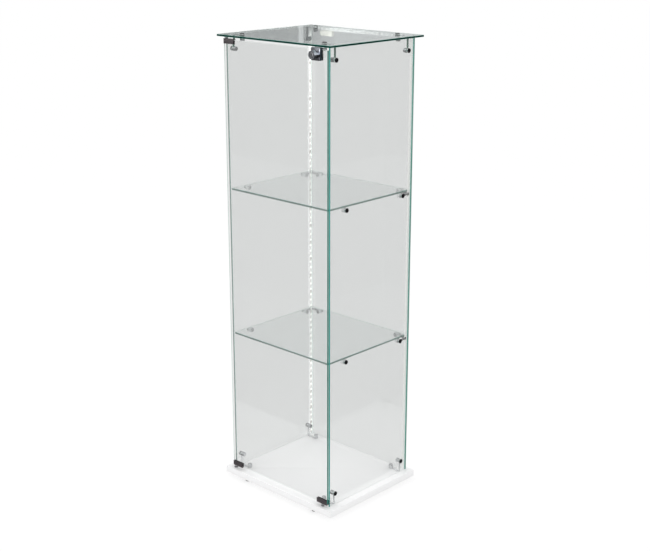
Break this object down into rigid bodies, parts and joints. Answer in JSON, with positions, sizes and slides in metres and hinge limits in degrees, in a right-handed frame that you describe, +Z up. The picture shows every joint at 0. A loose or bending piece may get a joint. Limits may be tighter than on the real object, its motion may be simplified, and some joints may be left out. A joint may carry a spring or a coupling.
{
  "type": "display case",
  "caption": "Tall frameless glass display case with a white base board, glass shelves on corner connectors, a hinged glass door with a cylinder lock and strip lights.",
  "frame": {"origin": "on the floor, in the middle of the whole outline", "axes": "+Z up, +Y from the door towards the back, +X along the door towards the lock"},
  "size_m": [0.41, 0.365, 1.256],
  "materials": {
    "white_board": "white laminate, satin",
    "dark_plastic": "dark moulded plastic",
    "steel": "plain bright steel",
    "glass": "clear float glass with green polished edges",
    "chrome": "bright chrome plate",
    "black_metal": "black, low gloss",
    "clear_plastic": "clear",
    "grey_plastic": "grey, self-lubricating",
    "magnet": "nickel plated magnet",
    "white_tape": "white, flexible",
    "lamp": "white lamps with a pale yellow lens",
    "cream_plastic": "cream moulded plastic",
    "green_circuit": "green lacquer",
    "black_plastic": "black moulded plastic",
    "dark_clip": "dark grey plate, satin",
    "rubber": "black",
    "brass": "plain"
  },
  "bodies": {
    "cabinet": {"base_board": "white_board", "glides": "dark_plastic", "glide_screws": "steel", "left_pane": "glass", "right_pane": "glass", "back_pane": "glass", "top_pane": "glass", "top_corner_strips": "chrome", "top_barrels": "chrome", "top_cap_screws": "black_metal", "base_corner_strips": "chrome", "base_barrels": "chrome", "base_cap_screws": "black_metal", "base_bosses": "chrome", "base_bolts": "steel", "shelf_corner_strips": "chrome", "shelf_barrels": "chrome", "shelf_cap_screws": "black_metal", "shelf_pins": "chrome", "shelf_pin_screws": "black_metal", "shelf_sleeves": "clear_plastic", "glass_bushes": "clear_plastic", "inner_washers": "clear_plastic", "upper_shelf": "glass", "lower_shelf": "glass", "top_pivot_bush": "grey_plastic", "bottom_pivot_bush": "grey_plastic", "catch_cup": "steel", "catch_magnet": "magnet", "lock_keeper": "steel", "left_light_tape": "white_tape", "right_light_tape": "white_tape", "top_light_tape": "white_tape", "left_lamps": "lamp", "right_lamps": "lamp", "top_lamps": "lamp", "control_case": "cream_plastic", "control_back": "cream_plastic", "control_circuit": "green_circuit", "power_socket": "black_plastic", "light_leads": "white_tape"},
    "door": {"door_pane": "glass", "top_hinge_clip": "dark_clip", "bottom_hinge_clip": "dark_clip", "catch_clip": "dark_clip", "clip_liners": "rubber", "clip_screws": "steel", "top_pivot_pin": "steel", "bottom_pivot_pin": "steel", "catch_foot": "steel", "lock_body": "chrome", "lock_back_plate": "chrome", "lock_gaskets": "rubber", "lock_plate_screws": "steel"},
    "lock_plug": {"lock_plug": "chrome", "lock_wafers": "brass", "lock_circlip": "steel", "lock_cam": "steel", "lock_cam_nut": "steel"}
  },
  "joints": [
    {"name": "door_hinge", "type": "hinge", "parent": "cabinet", "child": "door", "pos_m": [-0.178, -0.158, 0.028], "axis": [0, 0, -1], "range_deg": [0, 180]},
    {"name": "lock_turn", "type": "hinge", "parent": "door", "child": "lock_plug", "pos_m": [0.151, -0.1605, 1.229], "axis": [0, 1, 0], "range_deg": [0, 90]}
  ]
}
